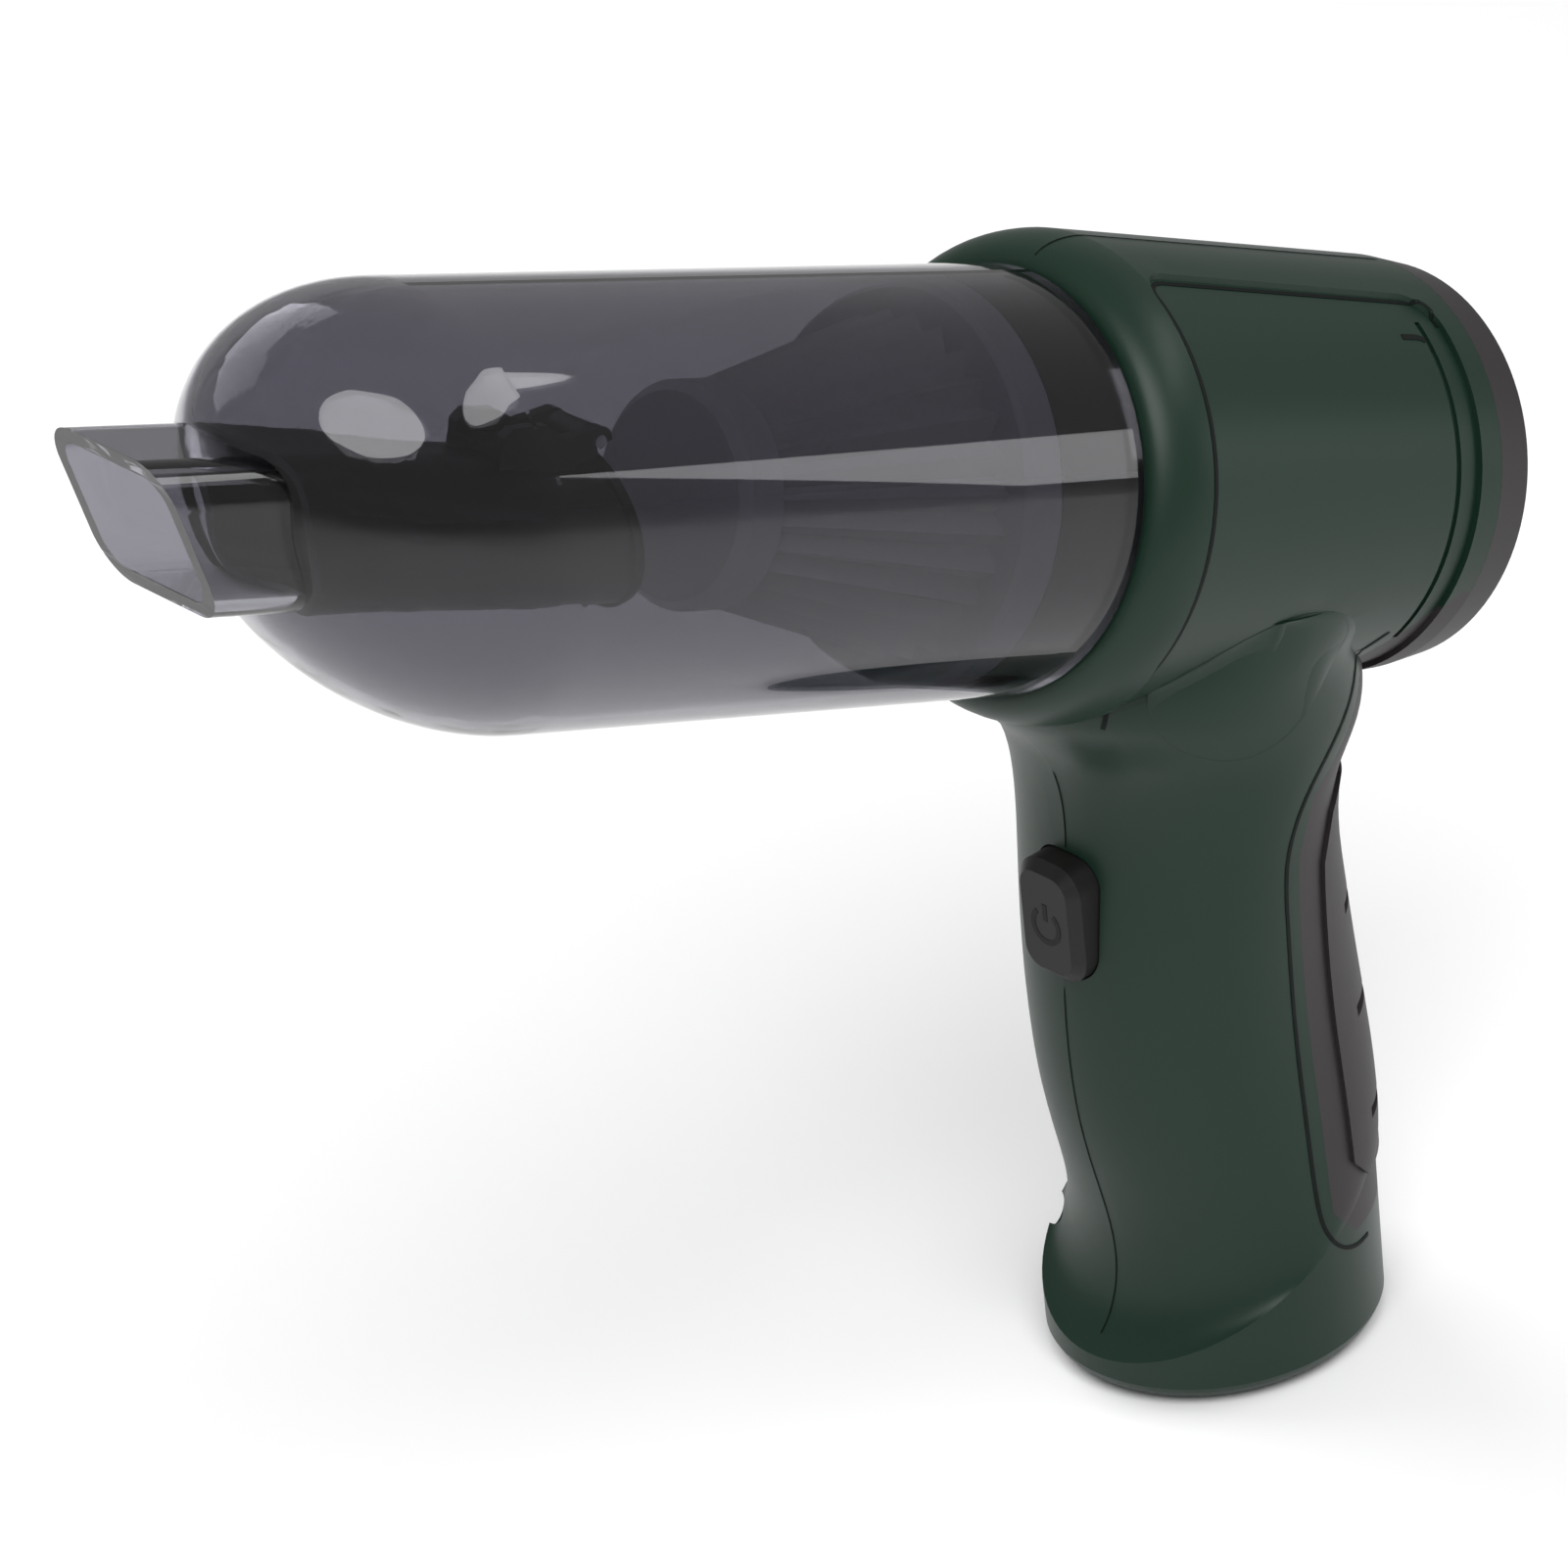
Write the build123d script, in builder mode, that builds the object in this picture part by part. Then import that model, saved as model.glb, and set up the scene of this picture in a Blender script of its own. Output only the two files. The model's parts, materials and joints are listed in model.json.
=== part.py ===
"""Cordless pistol-grip vacuum cleaner with a clear dust cup, standing on the foot of its handle.

Millimetres. The origin is the centre of the foot's flat face, +Z is up, -X is the way the nozzle
points and +Y is the far side. The barrel leans nose-up, so most barrel pieces are turned about its
axis from half profiles drawn on the side plane, where x runs back from the cup's rim and y is radius.
"""
import os
from math import cos, pi, radians, sin, tan

from build123d import *

os.makedirs("parts", exist_ok=True)

# ------------------------------------------------------------------ driving dimensions
lean = 20.0                    # degrees the barrel points up when the foot stands flat
rim_x = -31.7                  # cup rim centre, from the foot's centre
rim_z = 168.5
wall = 2.2                     # housing, cover and grip wall
fit_gap = 0.3                  # play between a moving piece and what it moves past

cup_radius = 33.0
cup_wall = 2.0
dome_start = 108.8             # from the rim forward to where the dome begins, on the axis
dome_length = 39.6
nozzle_width = 27.5
nozzle_height = 22.6
nozzle_corner = 6.0
nozzle_wall = 2.2
mouth_top = 169.4              # from the rim forward to the mouth's upper and lower lip
mouth_bottom = 154.4

barrel_front_radius = 33.4
collar_length = 10.0
collar_radius = 38.2
barrel_rear = 79.0
barrel_rear_radius = 33.3
panel_depth = 0.9              # step from the collar and top strip down to the side panels
panel_front = 9.3
panel_rear = 74.0
panel_top_half = 13.0          # half width of the raised strip along the barrel's top

cover_side_end = 86.5
cover_end = 91.0
slot_count = 16

foot_half_depth = 29.1
foot_half_width = 27.2
foot_edge = 5.0
foot_front_height = 7.0        # the foot's slanted crease, low in front and high behind
foot_back_height = 38.0

button_height = 21.0
button_width = 14.0
button_z = 88.8
button_corner = 5.0
button_face = -29.3            # the pressed face, proud of the handle's front

barrel_screws = ((26.0, 28.5), (62.0, 26.5))            # x behind the rim, height over the axis
handle_screws = ((-12.0, 118.0), (-15.5, 60.0), (-12.0, 16.0))
boss_radius = 4.4
screw_radius = 1.25
screw_head_radius = 2.6
screw_seat = 7.0               # the heads' seat, on the far side of the split

notch_count = 4
notch_pitch = 18.7
notch_bottom = 41.0
palm_height = 0.8

cell_radius = 9.2
cell_length = 65.0
cell_bottom = 26.0
cell_offset = 9.6
cell_x = 1.5
board_back = -11.4
socket_x = 13.0
socket_radius = 3.6

shaft_radius = 1.6
can_radius = 17.9
can_rear = 67.0
fan_radius = 26.0
blade_count = 9
pleat_count = 28

# ------------------------------------------------------------------ planes
along = Vector(cos(radians(lean)), 0, -sin(radians(lean)))
rise = Vector(sin(radians(lean)), 0, cos(radians(lean)))
rim = Vector(rim_x, 0, rim_z)
side = Plane(origin=rim, x_dir=along, z_dir=(0, -1, 0))
barrel_axis = Axis(rim, along)


def across(x, lift=0.0):
    """Plane square to the barrel, x behind the cup's rim and lift above the barrel's axis."""
    return Plane(origin=rim + along * x + rise * lift, x_dir=(0, 1, 0), z_dir=along)


def upright(x, lift=0.0):
    """Vertical plane that meets the barrel's axis x behind the rim, centred lift above the axis."""
    centre = rim + along * (x - lift * tan(radians(lean))) + rise * lift
    return Plane(origin=centre, x_dir=(0, 1, 0), z_dir=(1, 0, 0))


def turned(*corners):
    """Solid turned about the barrel's axis from corners (x, radius) on the side plane."""
    with BuildPart() as body:
        with BuildSketch(side):
            with BuildLine():
                Polyline(*corners, close=True)
            make_face()
        revolve(axis=barrel_axis)
    return body.part


# ------------------------------------------------------------------ outer forms, by inset
def barrel_form(inset=0.0, front=0.0, rear=barrel_rear):
    """The barrel's turned form: a rounded collar, then a taper back to the rear cover."""
    slope = (collar_radius - barrel_rear_radius) / (barrel_rear - collar_length)
    rear_radius = collar_radius - slope * (rear - collar_length) - inset
    with BuildPart() as form:
        with BuildSketch(side):
            with BuildLine():
                collar = EllipticalCenterArc(
                    (collar_length, barrel_front_radius - inset),
                    collar_length - front,
                    collar_radius - barrel_front_radius,
                    start_angle=90,
                    arc_size=90,
                )
                Polyline(
                    collar @ 1,
                    (front, 0),
                    (rear, 0),
                    (rear, rear_radius),
                    collar @ 0,
                )
            make_face()
        revolve(axis=barrel_axis)
    return form.part


# the handle's front and back lines on its middle plane, and its half width, from the crease up
with BuildLine(Plane.XZ) as handle_front:
    Spline(
        (-29.4, foot_front_height),
        (-22.6, 14.2),
        (-21.3, 22.0),
        (-25.0, 43.0),
        (-27.2, 64.0),
        (-25.8, 86.0),
        (-23.6, 106.0),
        (-26.0, 117.5),
        (-32.0, 124.5),
        (-36.0, 132.0),
        (-36.0, 141.0),
        (-33.5, 150.0),
    )
with BuildLine(Plane.XZ) as handle_back:
    Spline(
        (28.8, foot_back_height),
        (28.4, 46.0),
        (27.5, 66.0),
        (25.8, 83.0),
        (24.0, 98.0),
        (25.6, 106.5),
        (30.4, 112.0),
        (32.0, 121.0),
        (31.5, 134.0),
    )
# its half width, against the share of the way up in hundredths
with BuildLine(Plane.XY) as handle_half_width:
    Spline(
        (0, foot_half_width),
        (10, 26.6),
        (22, 25.9),
        (35, 25.2),
        (50, 25.6),
        (62, 26.8),
        (72, 28.6),
        (82, 30.2),
        (100, 32.8),
    )
handle_section_count = 14


def foot_trim(inset):
    """What is taken off round the foot's bottom to round its edge."""
    with BuildPart() as kept:
        with BuildSketch(Plane.XY.offset(inset)):
            with Locations((-0.3, 0)):
                Ellipse(foot_half_depth + 0.3 - inset, foot_half_width + 0.3 - inset)
        extrude(amount=20)
        fillet(kept.edges().group_by(Axis.Z)[0], foot_edge + 0.5 - inset)
    with BuildPart() as trim:
        with BuildSketch(Plane.XY.offset(-1)):
            Rectangle(90, 90)
        extrude(amount=foot_edge + 2)
        add(kept.part, mode=Mode.SUBTRACT)
    return trim.part


def handle_form(inset=0.0):
    """The handle's lofted form, flared into the barrel, on a foot drawn down from its crease."""
    with BuildPart() as form:
        for number in range(handle_section_count):
            share = number / (handle_section_count - 1)
            front = handle_front.line @ share
            back = handle_back.line @ share
            half_width = (handle_half_width.line @ share).Y
            depth = back - front
            section = Plane(
                origin=(front + back) * 0.5,
                x_dir=depth.normalized(),
                z_dir=Vector(-depth.Z, 0, depth.X).normalized(),
            )
            with BuildSketch(section):
                Ellipse(depth.length / 2 - inset, half_width - inset)
        loft()
        crease = form.faces().filter_by(GeomType.PLANE).sort_by(Axis.Z)[0]
        extrude(crease, amount=60, dir=(0, 0, -1))
        split(bisect_by=Plane.XY.offset(inset), keep=Keep.TOP)
        add(foot_trim(inset), mode=Mode.SUBTRACT)
    return form.part


def save(part, name):
    """Label a finished piece and write it as its own STEP file."""
    part.label = name
    export_step(part, f"parts/{name}.step")


# ------------------------------------------------------------------ dust cup
def cup_form(radius, length, rear):
    """The cup's closed form: a cylinder with a sheared dome that starts on an upright plane."""
    with BuildPart() as dome:
        for turn in (0, 15, 30, 45, 58, 70, 80):
            section_radius = radius * cos(radians(turn))
            with BuildSketch(upright(-dome_start - length * sin(radians(turn)))):
                Ellipse(section_radius, section_radius / cos(radians(lean)))
        loft()
    with BuildPart() as form:
        add(turned((-dome_start - 20, 0), (rear, 0), (rear, radius), (-dome_start - 20, radius)))
        split(bisect_by=upright(-dome_start), keep=Keep.TOP)
        add(dome.part)
    return form.part


cup_rear = -fit_gap
cup_space = cup_form(cup_radius - cup_wall, dome_length - cup_wall, cup_rear + 5)
mouth_middle = side.from_local_coords((-(mouth_top + mouth_bottom) / 2, 0, 0))
mouth_normal = along * -nozzle_height + rise * -(mouth_top - mouth_bottom)
mouth_plane = Plane(origin=mouth_middle, x_dir=(0, 1, 0), z_dir=mouth_normal.normalized())

with BuildPart() as nozzle:
    with BuildSketch(across(-dome_start - 12)):
        RectangleRounded(nozzle_width, nozzle_height, nozzle_corner)
    extrude(amount=-70)
    split(bisect_by=mouth_plane, keep=Keep.BOTTOM)

with BuildPart() as nozzle_bore:
    with BuildSketch(across(-dome_start - 12)):
        RectangleRounded(
            nozzle_width - 2 * nozzle_wall,
            nozzle_height - 2 * nozzle_wall,
            nozzle_corner - nozzle_wall,
        )
    extrude(amount=-70)

with BuildPart() as dust_cup:
    add(cup_form(cup_radius, dome_length, cup_rear))
    add(nozzle.part)
    add(nozzle_bore.part, mode=Mode.SUBTRACT)
    add(cup_space, mode=Mode.SUBTRACT)
save(dust_cup.part, "dust_cup")

# ------------------------------------------------------------------ suction duct and its flap
duct_wall = 1.8
duct_drop = 3.7                # the duct's inner end hangs this far below the barrel's axis
duct_end = -83.4
duct_end_size = 23.2
duct_sections = (              # x on the axis, lift, width, height in its upright plane, corner
    (-155.6, 0.0, nozzle_width, 24.0, nozzle_corner),
    (-141.0, 0.0, nozzle_width, 24.0, nozzle_corner),
    (-126.6, -0.8, 26.9, 24.2, 7.4),
    (-112.2, -2.3, 25.2, 24.6, 9.6),
    (-97.8, -3.4, 23.7, 24.7, 11.2),
    (duct_end, -duct_drop, duct_end_size, 24.7, 11.5),
    (-69.0, -duct_drop, duct_end_size, 24.7, 11.5),
)


def duct_form(inset, first, last):
    """The duct's form: the nozzle's section, easing into a round end lower in the cup."""
    with BuildPart() as form:
        for x, lift, width, height, corner in duct_sections[first:last]:
            with BuildSketch(upright(x, lift)):
                RectangleRounded(width - 2 * inset, height - 2 * inset, corner - inset)
        loft(ruled=True)
    return form.part


with BuildPart() as suction_duct:
    add(duct_form(0, 1, 6))
    add(duct_form(duct_wall, 0, 7), mode=Mode.SUBTRACT)
save(suction_duct.part, "suction_duct")

flap_thickness = 1.4
flap_radius = 12.2
pin_radius = 1.0
pin_lift = 10.4                # the flap's pin, above the barrel's axis
knuckle_radius = 2.0
flap_back = 0.5                # the pin's centre behind the flap's front face
flap_plane = upright(duct_end + fit_gap / cos(radians(lean)), -duct_drop)
pin_plane = upright(duct_end + fit_gap / cos(radians(lean)), pin_lift)
pin_centre = pin_plane.origin + Vector(flap_back, 0, 0)
pin_cross = Plane(origin=pin_centre, x_dir=(1, 0, 0), z_dir=(0, -1, 0))

with BuildPart() as inlet_flap:
    with BuildSketch(flap_plane):
        Ellipse(flap_radius, flap_radius / cos(radians(lean)))
    extrude(amount=flap_thickness)
    with BuildSketch(pin_plane):
        with Locations((0, -3.0)):
            Rectangle(7.0, 6.0)
    extrude(amount=flap_thickness)
    with BuildSketch(pin_cross):
        Circle(knuckle_radius)
    extrude(amount=3.5, both=True)
    with BuildSketch(pin_cross):
        Circle(pin_radius + 0.06)
    extrude(amount=20, both=True, mode=Mode.SUBTRACT)
save(inlet_flap.part, "inlet_flap")

with BuildPart() as flap_pin:
    with BuildSketch(pin_cross):
        Circle(pin_radius)
    extrude(amount=6.4, both=True)
save(flap_pin.part, "flap_pin")

# a saddle on the duct's top, whose two ribs rise in ears and reach back to hold the pin
with BuildPart() as flap_clip:
    with BuildSketch(across(-104.0)):
        with Locations((0, 7.6)):
            Rectangle(12.4, 4.4)
    extrude(amount=14.0)
    with BuildSketch(side):
        with BuildLine():
            Polyline(
                (-104.0, 6.0),
                (-104.0, 11.6),
                (-102.4, 13.2),
                (-96.6, 13.2),
                (-93.0, 11.2),
                (-87.2, 12.6),
                (-85.0, 8.9),
                (-94.0, 6.0),
                close=True,
            )
        make_face()
    extrude(amount=6.2, both=True)
    with BuildSketch(pin_cross):
        Circle(2.2)
    extrude(amount=6.2, both=True)
    with BuildSketch(across(-106.0)):
        with Locations((0, 14.8)):
            Rectangle(8.4, 10.0)
    extrude(amount=30, mode=Mode.SUBTRACT)
    with BuildSketch(across(-90.0)):
        with Locations((0, 10.0)):
            Rectangle(8.4, 20.0)
    extrude(amount=12, mode=Mode.SUBTRACT)
    with BuildSketch(upright(duct_end + 0.1, pin_lift - 3.4)):
        Rectangle(30, 6)
    extrude(amount=20, mode=Mode.SUBTRACT)
    add(duct_form(-0.02, 1, 6), mode=Mode.SUBTRACT)
    with BuildSketch(pin_cross):
        Circle(pin_radius)
    extrude(amount=20, both=True, mode=Mode.SUBTRACT)
save(flap_clip.part, "flap_clip")

# ------------------------------------------------------------------ filter
frame_front = -22.5
frame_rear = -15.9
filter_nose = -58.7
spigot_radius = 30.6
spigot_bore = 28.0


def star(plane, outer_radius, inner_radius):
    """Closed pleated outline on a plane, one outer and one inner corner to a pleat."""
    corners = []
    for step in range(2 * pleat_count):
        radius = outer_radius if step % 2 == 0 else inner_radius
        turn = step * pi / pleat_count
        corners.append((radius * cos(turn), radius * sin(turn)))
    with BuildSketch(plane) as outline:
        with BuildLine():
            Polyline(*corners, close=True)
        make_face()
    return outline.sketch


with BuildPart() as filter_pleats:
    loft([star(across(frame_front), 26.4, 23.4), star(across(filter_nose), 16.4, 14.0)], ruled=True)
    loft(
        [star(across(frame_front), 25.2, 22.2), star(across(filter_nose), 15.2, 12.8)],
        ruled=True,
        mode=Mode.SUBTRACT,
    )
save(filter_pleats.part, "filter_pleats")

with BuildPart() as filter_frame:
    add(
        turned(
            (frame_front, 22.0),
            (frame_front, 29.6),
            (frame_front + 0.9, spigot_radius),
            (frame_rear, spigot_radius),
            (frame_rear, spigot_bore - 0.4),
            (-9.0, spigot_bore - 0.4),
            (-9.0, spigot_bore - 2.0),
            (frame_front + 1.6, spigot_bore - 2.0),
            (frame_front + 1.6, 22.0),
        )
    )
save(filter_frame.part, "filter_frame")

with BuildPart() as filter_end_cap:
    add(
        turned(
            (-66.0, 0),
            (-66.0, 15.4),
            (-64.4, 17.0),
            (filter_nose, 17.0),
            (filter_nose, 0),
        )
    )
save(filter_end_cap.part, "filter_end_cap")

# ------------------------------------------------------------------ cup spigot and seal
with BuildPart() as cup_spigot_ring:
    add(
        turned(
            (-15.6, spigot_bore),
            (-15.6, spigot_radius),
            (3.0, spigot_radius),
            (3.0, 32.3),
            (5.0, 32.3),
            (5.0, spigot_bore),
        )
    )
save(cup_spigot_ring.part, "cup_spigot_ring")

with BuildPart() as cup_seal_ring:
    add(turned((0, spigot_radius + 0.4), (0, 32.8), (1.0, 32.8), (1.0, spigot_radius + 0.4)))
save(cup_seal_ring.part, "cup_seal_ring")

# ------------------------------------------------------------------ fan
with BuildPart() as fan_shroud:
    add(
        turned(
            (5.0, 12.0),
            (5.0, 29.5),
            (17.5, 29.5),
            (17.5, 28.0),
            (6.4, 28.0),
            (6.4, 12.0),
        )
    )
save(fan_shroud.part, "fan_shroud")

blade_height = 7.4
with BuildPart() as blade:
    with BuildSketch(across(7.8)):
        with BuildLine():
            pressure_side = ThreePointArc((7.5, 0.5), (17.0, 4.3), (25.6, 1.3))
            suction_side = ThreePointArc((7.5, -0.5), (17.0, 3.3), (25.6, 0.3))
            Line(pressure_side @ 0, suction_side @ 0)
            Line(pressure_side @ 1, suction_side @ 1)
        make_face()
    extrude(amount=blade_height)

with BuildPart() as impeller:
    add(turned((15.0, 0), (15.0, fan_radius), (16.2, fan_radius), (16.2, 0)))
    add(turned((9.0, 0), (9.0, 4.2), (15.0, 5.2), (15.0, 0)))
    add(turned((7.2, 11.0), (7.2, fan_radius), (8.0, fan_radius), (8.0, 11.0)))
    for number in range(blade_count):
        add(blade.part.rotate(barrel_axis, number * 360 / blade_count))
    add(turned((0, 0), (0, shaft_radius), (20, shaft_radius), (20, 0)), mode=Mode.SUBTRACT)
save(impeller.part, "impeller")

# ------------------------------------------------------------------ motor
with BuildPart() as motor_mount:
    add(turned((17.5, 4.6), (17.5, 34.4), (20.5, 34.4), (20.5, 4.6)))
    with BuildSketch(across(17)):
        with PolarLocations(24.0, 8):
            SlotOverall(12.0, 5.0)
    extrude(amount=5, mode=Mode.SUBTRACT)
save(motor_mount.part, "motor_mount")

with BuildPart() as motor_can:
    add(
        turned(
            (20.5, 4.0),
            (20.5, can_radius),
            (can_rear, can_radius),
            (can_rear, can_radius - 1.3),
            (21.8, can_radius - 1.3),
            (21.8, 4.0),
        )
    )
save(motor_can.part, "motor_can")

with BuildPart() as motor_end_cap:
    add(turned((can_rear, 4.0), (can_rear, can_radius), (70.5, can_radius - 1.5), (70.5, 4.0)))
save(motor_end_cap.part, "motor_end_cap")

for name, start in (("front_bearing", 19.5), ("rear_bearing", can_rear)):
    with BuildPart() as bearing:
        add(
            turned(
                (start, shaft_radius + 0.05),
                (start, 4.0),
                (start + 3.6, 4.0),
                (start + 3.6, shaft_radius + 0.05),
            )
        )
    save(bearing.part, name)

with BuildPart() as motor_shaft:
    add(turned((8.6, 0), (8.6, shaft_radius), (72.0, shaft_radius), (72.0, 0)))
save(motor_shaft.part, "motor_shaft")

with BuildPart() as armature:
    add(turned((30, shaft_radius), (30, 12.4), (56, 12.4), (56, shaft_radius)))
    with BuildSketch(across(29)):
        with PolarLocations(9.6, 5):
            SlotOverall(7.0, 2.4)
            with Locations((2.0, 0)):
                Rectangle(3.0, 5.0)
    extrude(amount=30, mode=Mode.SUBTRACT)
save(armature.part, "armature")

with BuildPart() as windings:
    add(turned((26.5, 3.0), (26.5, 9.0), (29.9, 11.6), (29.9, 3.0)))
    add(turned((56.1, 3.0), (56.1, 11.6), (59.4, 9.0), (59.4, 3.0)))
save(windings.part, "windings")

with BuildPart() as commutator:
    add(turned((60.2, shaft_radius), (60.2, 4.6), (65.0, 4.6), (65.0, shaft_radius)))
save(commutator.part, "commutator")

with BuildPart() as motor_magnets:
    add(turned((28, 13.3), (28, can_radius - 1.35), (58, can_radius - 1.35), (58, 13.3)))
    with BuildSketch(across(27)):
        Rectangle(60, 9)
    extrude(amount=40, mode=Mode.SUBTRACT)
save(motor_magnets.part, "motor_magnets")

with BuildPart() as brushes:
    for turn in (90, 270):
        with BuildSketch(across(60.6)):
            with Locations(Rotation(0, 0, turn)):
                with Locations((10.2, 0)):
                    Rectangle(10.8, 3.6)
    extrude(amount=4.0)
save(brushes.part, "brushes")

# ------------------------------------------------------------------ exhaust
with BuildPart() as exhaust_foam:
    add(turned((73.5, 5.0), (73.5, 28.0), (78.5, 28.0), (78.5, 5.0)))
save(exhaust_foam.part, "exhaust_foam")

with BuildPart() as rear_cover:
    add(
        turned(
            (74.0, 28.6),
            (74.0, 30.2),
            (barrel_rear, 30.2),
            (barrel_rear, barrel_rear_radius),
            (cover_side_end, 32.0),
            (cover_side_end + 2.6, 29.4),
            (cover_end, 23.0),
            (cover_end, 0),
            (cover_end - wall, 0),
            (cover_end - wall, 22.0),
            (cover_side_end + 1.2, 27.6),
            (cover_side_end - 0.2, 29.8),
            (81.0, 30.4),
            (81.0, 28.6),
        )
    )
    with BuildSketch(across(cover_end - 4)):
        with PolarLocations(15.0, slot_count, start_angle=180 / slot_count):
            SlotOverall(12.0, 2.6)
    extrude(amount=6, mode=Mode.SUBTRACT)
save(rear_cover.part, "rear_cover")

# ------------------------------------------------------------------ housing
# side panels: beside and below the barrel's raised top strip, behind the collar's edge
with BuildPart() as panel_zone:
    with BuildSketch(side):
        with BuildLine():
            Polyline(
                (panel_front, 60),
                (panel_front, -20),
                (12.0, -34),
                (19.0, -47),
                (panel_rear, -60),
                (panel_rear, 60),
                close=True,
            )
        make_face()
    extrude(amount=60, both=True)
    with BuildSketch(Plane(origin=rim, x_dir=along, z_dir=rise)):
        for half in (1, -1):
            with Locations(((panel_front + panel_rear) / 2, half * (panel_top_half + 30))):
                RectangleRounded(panel_rear - panel_front, 60, 6.0)
    extrude(amount=80, both=True, mode=Mode.INTERSECT)

# the grip's zone wraps the back half of the handle and runs up the neck to the rear cover
with BuildPart() as grip_zone:
    with BuildSketch(Plane.XZ):
        with BuildLine():
            Polyline(
                (3.0, 29.0),
                (8.5, 22.5),
                (60.0, 22.5),
                (60.0, 120.0),
                (36.0, 131.0),
                (24.0, 124.0),
                (12.0, 113.0),
                (4.5, 107.0),
                (1.5, 96.0),
                close=True,
            )
        make_face()
    extrude(amount=60, both=True)

# the room in the foot is kept back from its front, where the handle steps in above the crease
with BuildPart() as foot_lining:
    with BuildSketch(Plane.XY.offset(-1)):
        Rectangle(90, 90)
        with Locations((1.5, 0)):
            Ellipse(25.5, 25.6, mode=Mode.SUBTRACT)
    extrude(amount=14.0)

# the room inside is taken away as one solid, so that the wall is one closed shell
with BuildPart() as inner_room:
    add(handle_form(inset=wall))
    add(foot_lining.part, mode=Mode.SUBTRACT)
    add(barrel_form(inset=wall + 0.8, front=wall, rear=barrel_rear + 5))

with BuildPart() as hollow:
    add(barrel_form())
    add(handle_form())
    add(inner_room.part, mode=Mode.SUBTRACT)

with BuildPart() as panel_cut:
    add(panel_zone.part)
    add(barrel_form(inset=panel_depth), mode=Mode.SUBTRACT)
    add(handle_form(), mode=Mode.SUBTRACT)

with BuildPart() as boss_room:
    add(barrel_form(inset=wall, front=wall))
    add(handle_form(inset=wall / 2))

boss_planes = [Plane(origin=side.from_local_coords(spot), z_dir=(0, 1, 0)) for spot in barrel_screws]
boss_planes += [Plane(origin=(x, 0, z), z_dir=(0, 1, 0)) for x, z in handle_screws]

with BuildPart() as bosses:
    for plane in boss_planes:
        with BuildSketch(plane):
            Circle(boss_radius)
    extrude(amount=45, both=True)
    add(boss_room.part, mode=Mode.INTERSECT)

with BuildPart() as screw_holes:
    for plane in boss_planes:
        with BuildSketch(plane.offset(-9)):
            Circle(screw_radius + 0.05)
        extrude(amount=20)
        with BuildSketch(plane.offset(screw_seat)):
            Circle(screw_head_radius + 0.3)
        extrude(amount=40)

with BuildPart() as front_bore:
    add(turned((-2, 0), (-2, spigot_radius + 0.6), (4, spigot_radius + 0.6), (4, 0)))
    add(turned((-2, 0), (-2, 32.9), (1.0, 32.9), (1.0, 0)))

with BuildPart() as openings:
    with BuildSketch(Plane.YZ.offset(-40)):
        with Locations((0, button_z)):
            RectangleRounded(button_width + 0.6, button_height + 0.6, button_corner + 0.3)
    extrude(amount=24)
    with BuildSketch(Plane.XY):
        with Locations((socket_x, 0)):
            Circle(socket_radius + 0.1)
    extrude(amount=5)

# a short hooked groove down each panel, near its rear edge
with BuildPart() as hook_groove:
    add(turned((68.6, 32.5), (68.6, 40.0), (69.8, 40.0), (69.8, 32.5)))
    with BuildSketch(side):
        with Locations((60.0, 3.5)):
            Rectangle(160, 49.0)
    extrude(amount=60, both=True, mode=Mode.INTERSECT)

with BuildPart() as whole_wall:
    add(hollow.part)
    add(panel_cut.part, mode=Mode.SUBTRACT)
    add(hook_groove.part, mode=Mode.SUBTRACT)
    add(front_bore.part, mode=Mode.SUBTRACT)

with BuildPart() as near_zone:
    add(grip_zone.part)
    split(bisect_by=Plane.XZ, keep=Keep.TOP)

# the pad's padded centre stands proud and is crossed by palm notches
with BuildPart() as palm_zone:
    with BuildSketch(Plane.XZ):
        with BuildLine():
            Polyline(
                (8.5, 36.0),
                (13.0, 31.0),
                (60.0, 31.0),
                (60.0, 104.0),
                (16.0, 104.0),
                (11.0, 100.0),
                (8.0, 92.0),
                close=True,
            )
        make_face()
    extrude(amount=60)
    with BuildSketch(Plane.XZ):
        for number in range(notch_count):
            with Locations((24.7, notch_bottom + number * notch_pitch)):
                Rectangle(18.0, 2.0)
    extrude(amount=60, mode=Mode.SUBTRACT)

with BuildPart() as palm_rise:
    add(handle_form(inset=-palm_height))
    add(palm_zone.part, mode=Mode.INTERSECT)
    add(handle_form(inset=wall / 2), mode=Mode.SUBTRACT)

with BuildPart() as grip_pad:
    add(whole_wall.part)
    add(near_zone.part, mode=Mode.INTERSECT)
    add(palm_rise.part)
    mirror(about=Plane.XZ)
save(grip_pad.part, "grip_pad")

for name, keep in (("housing_left_shell", Keep.TOP), ("housing_right_shell", Keep.BOTTOM)):
    with BuildPart() as shell:
        add(whole_wall.part)
        add(grip_zone.part, mode=Mode.SUBTRACT)
        add(bosses.part)
        split(bisect_by=Plane.XZ, keep=keep)
        add(screw_holes.part, mode=Mode.SUBTRACT)
        add(openings.part, mode=Mode.SUBTRACT)
    save(shell.part, name)

with BuildPart() as shell_screws:
    for plane in boss_planes:
        with BuildSketch(plane.offset(-8)):
            Circle(screw_radius)
        extrude(amount=8 + screw_seat)
        with BuildSketch(plane.offset(screw_seat)):
            Circle(screw_head_radius)
        extrude(amount=2.0)
        with BuildSketch(plane.offset(screw_seat + 2.0)):
            Rectangle(3.4, 0.9)
            Rectangle(0.9, 3.4)
        extrude(amount=-1.1, mode=Mode.SUBTRACT)
save(shell_screws.part, "shell_screws")

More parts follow.
